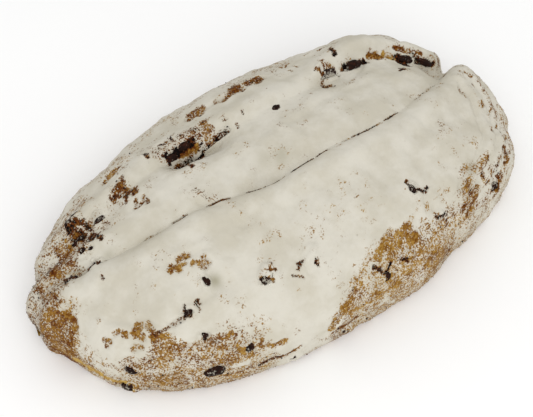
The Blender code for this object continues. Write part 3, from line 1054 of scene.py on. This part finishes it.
def baked_group():
    """Colour of baked dough: tone runs from pale and golden through two browns to nearly black, mottled."""
    if "baked" in bpy.data.node_groups:
        return bpy.data.node_groups["baked"]
    sockets = (
        ("Vector", VECTOR, None),
        ("Tone", NUMBER, 0.5),
        ("Mottle", NUMBER, 0.3),
        ("Pale", COLOUR, (0.50, 0.33, 0.09, 1)),
        ("Golden", COLOUR, (0.40, 0.22, 0.055, 1)),
        ("Brown", COLOUR, (0.19, 0.085, 0.022, 1)),
        ("Dark", COLOUR, (0.045, 0.018, 0.008, 1)),
        ("Burnt_and_shade", COLOUR, (0.004, 0.002, 0.0015, 1)),
    )
    board, given, out = new_group("baked", sockets, (("Color", COLOUR),))
    slow = board.ramp(board.noise(given["Vector"], 0.009, 3.0), 0.30, 0.70, -0.5, 0.5)
    quick = board.ramp(board.noise(given["Vector"], 0.0014, 3.0), 0.30, 0.70, -0.75, 0.75)
    tone = board.math("MULTIPLY_ADD", slow, given["Mottle"], given["Tone"])
    tone = board.math("MULTIPLY_ADD", quick, given["Mottle"], tone)
    light = board.mix(board.ramp(tone, -0.30, 0.10), given["Pale"], given["Golden"])
    light = board.mix(board.ramp(tone, 0.10, 0.55), light, given["Brown"])
    dark = board.mix(board.ramp(tone, 0.45, 0.88), light, given["Dark"])
    # Above 0.88 the colour goes to near-black: burnt crust, and the painted shade of the first tear's hollow.
    board.feed(out["Color"], board.mix(board.ramp(tone, 0.88, 1.20), dark, given["Burnt_and_shade"]))
    return board.tree


def fine_grain_group():
    """Height of fine grain: soft powder of one size with single crystals of a smaller one."""
    if "fine_grain" in bpy.data.node_groups:
        return bpy.data.node_groups["fine_grain"]
    sockets = (
        ("Vector", VECTOR, None),
        ("Powder Size", NUMBER, 0.0012),
        ("Crystals", NUMBER, 0.5),
    )
    board, given, out = new_group("fine_grain", sockets, (("Height", NUMBER),))
    scale = board.math("DIVIDE", 1.0, given["Powder Size"])
    powder = board.node("ShaderNodeTexNoise", {"Vector": given["Vector"], "Scale": scale, "Detail": 3.0})
    crystals = board.noise(given["Vector"], 0.00045, 1.0)
    height = board.math("MULTIPLY_ADD", crystals, given["Crystals"], powder.outputs["Fac"])
    board.feed(out["Height"], height)
    return board.tree


def new_material(name, plain):
    """A material with its Principled shader: board, Object coordinates and the shader's inputs."""
    material = bpy.data.materials.new(name)
    material.use_nodes = True
    material.diffuse_color = plain
    board = Board(material.node_tree)
    shader = material.node_tree.nodes["Principled BSDF"]
    coords = board.node("ShaderNodeTexCoord").outputs["Object"]
    return material, board, coords, shader.inputs


def four(colour):
    """A colour property with full alpha."""
    return (*colour, 1.0)


def sugar_mask(board, coords, cover, clumps, grains, softness):
    """Where sugar of this cover shows."""
    inputs = {"Vector": coords, "Cover": cover, "Clumps": clumps, "Grains": grains, "Softness": softness}
    return board.group(dusting_group(), inputs)["Mask"]


def crust_colour(board, coords, tone, mottle, skin):
    """Colour of crust of this tone, in the skin's own browns."""
    inputs = {"Vector": coords, "Tone": tone, "Mottle": mottle}
    inputs.update({"Golden": four(skin.golden), "Brown": four(skin.brown), "Dark": four(skin.dark)})
    return board.group(baked_group(), inputs)["Color"]


def add_grain(board, coords, shader, size, crystals, strength, distance):
    """Bumps of powder of this size, with crystals in it."""
    inputs = {"Vector": coords, "Powder Size": size, "Crystals": crystals}
    height = board.group(fine_grain_group(), inputs)["Height"]
    inputs = {"Height": height, "Strength": strength, "Distance": distance}
    board.feed(shader["Normal"], board.node("ShaderNodeBump", inputs).outputs["Normal"])


def skin_material(skin, sugar):
    """Crust under sugar. The stored values say how thick the sugar is, how dark the bake and how much shade
    is painted into the hollows.
    """
    material, board, coords, shader = new_material("sugared_crust", four(sugar.colour))
    margin = board.value("margin")
    tone = board.value("tone")
    mask = sugar_mask(board, coords, margin, 0.38, 0.64, 0.22)
    mask = board.math("MULTIPLY", mask, board.ramp(margin, 0.30, 0.90, 0.80, 1.0))
    veil = board.ramp(board.noise(coords, 0.0028, 3.0), 0.35, 0.75, 0.0, 0.20)
    veil = board.math("MULTIPLY", veil, board.ramp(margin, 0.04, 0.42))
    veil = board.math("MULTIPLY", veil, board.ramp(tone, 1.05, 0.65))
    crust = board.mix(veil, crust_colour(board, coords, tone, 0.40, skin), four(sugar.soaked))
    wide = board.ramp(board.noise(coords, 0.024, 4.0, 0.65), 0.35, 0.65)
    white = board.mix(wide, four(sugar.colour), four(sugar.shade))
    # Sugar painted darker in the hollows as their shade.
    white = board.mix(board.math("MULTIPLY", board.value("hollow_shade"), 0.90), white, four(sugar.hollow_shade))
    white = board.mix(board.ramp(mask, 0.0, 0.75), four(sugar.soaked), white)
    board.feed(shader["Base Color"], board.mix(mask, crust, white))
    board.feed(shader["Roughness"], board.ramp(mask, 0.0, 1.0, 0.58, 0.92))
    shader["Specular IOR Level"].default_value = 0.04
    add_grain(board, coords, shader, 0.0016, 0.35, 0.35, 0.00035)
    return material


def raisin_material(raisins, sugar):
    """Dark leathery skin, redder where it is thin, with a pale film in patches: sugar caught on it, and
    painted sheen.
    """
    material, board, coords, shader = new_material("raisin_skin", four(raisins.colour))
    patch = board.noise(coords, 0.0045, 2.0)
    cover = board.math("MULTIPLY", board.ramp(patch, 0.30, 0.70, 0.2, raisins.dust_and_sheen), board.value("sugar_and_sheen"))
    mask = sugar_mask(board, coords, cover, 0.5, 0.5, 0.12)
    red = board.ramp(board.noise(coords, 0.0022, 3.0), 0.45, 0.75)
    body = board.mix(red, four(raisins.colour), four(raisins.red))
    # The pale film mixed in here is clinging sugar and also painted sheen.
    board.feed(shader["Base Color"], board.mix(board.math("MULTIPLY", mask, 0.62), body, four(sugar.shade)))
    board.feed(shader["Roughness"], board.ramp(mask, 0.0, 1.0, 0.50, 0.92))
    shader["Specular IOR Level"].default_value = 0.04
    add_grain(board, coords, shader, 0.0011, 0.3, 0.45, 0.0004)
    return material


def clump_material(sugar):
    """Loose sugar: bright grains with a few creamier ones among them."""
    material, board, coords, shader = new_material("loose_sugar", four(sugar.colour))
    shade = board.ramp(board.value("shade"), 0.3, 1.0)
    board.feed(shader["Base Color"], board.mix(shade, four(sugar.colour), four(sugar.shade)))
    shader["Roughness"].default_value = 0.9
    shader["Specular IOR Level"].default_value = 0.25
    add_grain(board, coords, shader, 0.0006, 0.5, 0.3, 0.0002)
    return material


def crumb_material(skin):
    """Crumbs of crust, each with its own tone of bake."""
    material, board, coords, shader = new_material("crust_crumb", four(skin.dark))
    tone = board.ramp(board.value("shade"), 0.0, 1.0, 0.60, 1.30)
    board.feed(shader["Base Color"], crust_colour(board, coords, tone, 0.25, skin))
    shader["Roughness"].default_value = 0.6
    shader["Specular IOR Level"].default_value = 0.3
    add_grain(board, coords, shader, 0.0007, 0.4, 0.4, 0.0003)
    return material


def floor_material(stage):
    """Plain floor, barely clouded."""
    material, board, coords, shader = new_material("pale_floor", four(stage.floor))
    tone = board.ramp(board.noise(coords, 0.25, 2.0), 0.3, 0.7)
    darker = four([0.985 * part for part in stage.floor])
    board.feed(shader["Base Color"], board.mix(tone, four(stage.floor), darker))
    shader["Roughness"].default_value = 0.9
    shader["Specular IOR Level"].default_value = 0.1
    return material


# ---------------------------------------------------------------- settings


def length(name, description, default):
    """A length property in metres."""
    return FloatProperty(name=name, description=description, default=default, unit="LENGTH", precision=5)


def tint(name, description, default):
    """A colour property, linear."""
    return FloatVectorProperty(
        name=name, description=description, default=default, subtype="COLOR", min=0, max=1
    )


class StollenSkin(PropertyGroup):
    """Sizes and colours of the crust."""

    sugar_depth: length("Sugar depth", "Thickness of the sugar where it lies whole", 0.0009)
    golden: tint("Golden", "Crust that was hardly browned", (0.33, 0.185, 0.038))
    brown: tint("Brown", "Crust that was baked through", (0.21, 0.094, 0.0125))
    dark: tint("Dark", "Crust that was baked hard, red-brown", (0.100, 0.024, 0.003))


class StollenSugar(PropertyGroup):
    """Colours and sizes of the sugar."""

    colour: tint("Colour", "Dry sugar", (0.63, 0.60, 0.52))
    shade: tint("Shade", "Sugar that took up a little butter", (0.545, 0.51, 0.42))
    # Colour of the shade painted into the hollows.
    hollow_shade: tint("Hollow shade", "Sugar painted darker as shade in a hollow", (0.34, 0.315, 0.225))
    soaked: tint("Soaked", "Thin sugar that the crust shows through", (0.46, 0.34, 0.17))
    smallest: length("Smallest clump", "Width of the smallest loose clump", 0.0003)
    largest: length("Largest clump", "Width of the largest loose clump", 0.0009)
    count: IntProperty(name="Clumps", description="How many loose clumps there are", default=5000, min=1)


class StollenRaisins(PropertyGroup):
    """Finish of the raisins."""

    wrinkle: FloatProperty(name="Wrinkle", description="Depth of the furrows", default=0.20, subtype="FACTOR")
    # Strength of the pale film on the raisins: clinging sugar and painted sheen.
    dust_and_sheen: FloatProperty(name="Dust and sheen", description="Sugar that clings to them, and painted sheen", default=1.2, subtype="FACTOR")
    colour: tint("Colour", "Raisin skin", (0.014, 0.0065, 0.0045))
    red: tint("Thin skin", "Raisin skin where light comes through", (0.045, 0.014, 0.007))


class StollenCrumbs(PropertyGroup):
    """Sizes of the dark crumbs."""

    smallest: length("Smallest crumb", "Width of the smallest crumb", 0.0003)
    largest: length("Largest crumb", "Width of the largest crumb", 0.0012)
    count: IntProperty(name="Crumbs", description="How many crumbs there are", default=3400, min=1)


class StollenStage(PropertyGroup):
    """Floor and lights."""

    floor: tint("Floor", "Colour of the floor", (0.98, 0.98, 0.975))
    sky: FloatProperty(name="Sky", description="Strength of the light from all round", default=0.85)
    key: FloatProperty(name="Key", description="Power of the soft light above", default=7.42, unit="POWER")


SKIN_PIECES = ("skin_front", "skin_middle", "skin_back")
SKIN_VALUES = ("margin", "tone", "hollow_shade", "crumbly")


# ---------------------------------------------------------------- operators


class STOLLEN_OT_skin(Operator):
    """Make the sugared skin in three pieces that meet at the fold and at the tear"""

    bl_idname = "stollen.skin"
    bl_label = "Skin"

    def execute(self, context):
        scene = context.scene
        material = skin_material(scene.stollen_skin, scene.stollen_sugar)
        line = np.linspace(-1, 1, STEPS_ALONG + 1)
        folds = np.array([[crossing(s, fold_line), crossing(s, tear_line)] for s in line])
        edges = np.column_stack([np.full(len(line), -1.0), folds, np.ones(len(line))])
        for index, (name, steps) in enumerate(zip(SKIN_PIECES, STEPS_ACROSS)):
            start, end = edges[:, index, None], edges[:, index + 1, None]
            t = start + (end - start) * crowded(steps)
            s = np.broadcast_to(line[:, None], t.shape)
            skin = Skin(*square_to_disc(s, t), scene.stollen_skin)
            obj = skin_piece(name, skin, index == 0, index == 2, material)
            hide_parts("loaf")
        return {"FINISHED"}


class STOLLEN_OT_raisins(Operator):
    """Make a wrinkled raisin in the place of each raisin of the frame"""

    bl_idname = "stollen.raisins"
    bl_label = "Raisins"

    def execute(self, context):
        scene = context.scene
        material = raisin_material(scene.stollen_raisins, scene.stollen_sugar)
        faces = raisin_faces()
        for index, (node, form) in enumerate(zip(RAISIN_NODES, RAISIN_FORMS)):
            name = "dried_" + node
            points = raisin_points(form, 200 + 5 * index, scene.stollen_raisins.wrinkle)
            mesh = new_mesh(name, points, faces)
            put(mesh, "sugar_and_sheen", np.full(len(points), RAISINS_SHOWN[index][1]))
            obj = piece(name, mesh, material)
            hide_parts(node)
        return {"FINISHED"}


class STOLLEN_OT_sugar(Operator):
    """Scatter loose clumps of sugar over the thin places"""

    bl_idname = "stollen.sugar"
    bl_label = "Loose sugar"

    def execute(self, context):
        sugar = context.scene.stollen_sugar
        skin = skin_arrays()
        weight = bell(skin["margin"], 0.42, 0.22) + 0.12 * blend(0.45, 0.10, skin["margin"])
        mesh = strewn_mesh("loose_sugar", skin, weight, sugar, 0.45, 5)
        piece("loose_sugar", mesh, clump_material(sugar))
        return {"FINISHED"}


class STOLLEN_OT_crumbs(Operator):
    """Scatter dark crumbs over the dark marks and a few over the thin places"""

    bl_idname = "stollen.crumbs"
    bl_label = "Crumbs"

    def execute(self, context):
        crumbs = context.scene.stollen_crumbs
        skin = skin_arrays()
        weight = skin["crumbly"] + 0.03 * bell(skin["margin"], 0.50, 0.15)
        mesh = strewn_mesh("crust_crumbs", skin, weight, crumbs, 0.40, 8)
        piece("crust_crumbs", mesh, crumb_material(context.scene.stollen_skin))
        return {"FINISHED"}


class STOLLEN_OT_stage(Operator):
    """Make the floor, the lights and the camera"""

    bl_idname = "stollen.stage"
    bl_label = "Stage"

    def execute(self, context):
        scene = context.scene
        stage = scene.stollen_stage
        place_floor(scene, stage)
        place_light(scene, "key", (-0.45, -0.95, 1.05), 1.1, stage.key)
        place_camera(scene)
        world = bpy.data.worlds.new("studio")
        world.use_nodes = True
        background = world.node_tree.nodes["Background"]
        background.inputs["Color"].default_value = (1, 1, 1, 1)
        background.inputs["Strength"].default_value = stage.sky
        scene.world = world
        scene.view_settings.view_transform = "Standard"
        return {"FINISHED"}


def place_floor(scene, stage):
    """A square floor, just below the loaf."""
    reach = 3.0
    below = -0.0002
    corners = [(-reach, -reach, below), (reach, -reach, below), (reach, reach, below), (-reach, reach, below)]
    mesh = bpy.data.meshes.new("floor")
    mesh.from_pydata(corners, [], [(0, 1, 2, 3)])
    mesh.materials.append(floor_material(stage))
    floor = bpy.data.objects.new("floor", mesh)
    scene.collection.objects.link(floor)


def place_light(scene, name, place, size, power):
    """A square soft light that faces the middle of the loaf."""
    data = bpy.data.lights.new(name, "AREA")
    data.size = size
    data.energy = power
    light = bpy.data.objects.new(name, data)
    light.location = place
    light.rotation_euler = (Vector(place) - Vector(LOOK_AT)).to_track_quat("Z", "Y").to_euler()
    scene.collection.objects.link(light)


def place_camera(scene):
    """A camera that looks at its point from a bearing and a height in degrees, at its distance."""
    camera = bpy.data.objects.new("camera", bpy.data.cameras.new("camera"))
    scene.collection.objects.link(camera)
    turn, lift = math.radians(CAMERA_BEARING), math.radians(CAMERA_HEIGHT)
    back = Vector((math.sin(turn) * math.cos(lift), -math.cos(turn) * math.cos(lift), math.sin(lift)))
    camera.location = Vector(LOOK_AT) + back * CAMERA_DISTANCE
    camera.rotation_euler = back.to_track_quat("Z", "Y").to_euler()
    camera.data.lens = CAMERA_LENS
    camera.data.sensor_width = SENSOR_WIDTH
    scene.camera = camera


class STOLLEN_PT_pieces(Panel):
    """Lists the pieces of the loaf with their sizes and colours"""

    bl_idname = "STOLLEN_PT_pieces"
    bl_label = "Stollen"
    bl_space_type = "VIEW_3D"
    bl_region_type = "UI"
    bl_category = "Stollen"

    def draw(self, context):
        for kind, group in SETTINGS.items():
            box = self.layout.box()
            for label in group.__annotations__:
                box.prop(getattr(context.scene, kind), label)
        for kind in OPERATORS:
            self.layout.operator(kind.bl_idname)


SETTINGS = {
    "stollen_skin": StollenSkin,
    "stollen_sugar": StollenSugar,
    "stollen_raisins": StollenRaisins,
    "stollen_crumbs": StollenCrumbs,
    "stollen_stage": StollenStage,
}
OPERATORS = (
    STOLLEN_OT_skin,
    STOLLEN_OT_raisins,
    STOLLEN_OT_sugar,
    STOLLEN_OT_crumbs,
    STOLLEN_OT_stage,
)


def register():
    """Adds the settings, the operators and the panel to Blender."""
    for kind, group in SETTINGS.items():
        bpy.utils.register_class(group)
        setattr(bpy.types.Scene, kind, PointerProperty(type=group))
    for kind in (*OPERATORS, STOLLEN_PT_pieces):
        bpy.utils.register_class(kind)


def unregister():
    """Takes out what register adds."""
    for kind in (STOLLEN_PT_pieces, *reversed(OPERATORS)):
        bpy.utils.unregister_class(kind)
    for kind, group in SETTINGS.items():
        delattr(bpy.types.Scene, kind)
        bpy.utils.unregister_class(group)


def main():
    """Makes every piece."""
    register()
    bpy.ops.stollen.skin()
    bpy.ops.stollen.raisins()
    bpy.ops.stollen.sugar()
    bpy.ops.stollen.crumbs()
    bpy.ops.stollen.stage()


if __name__ == "__main__":
    main()
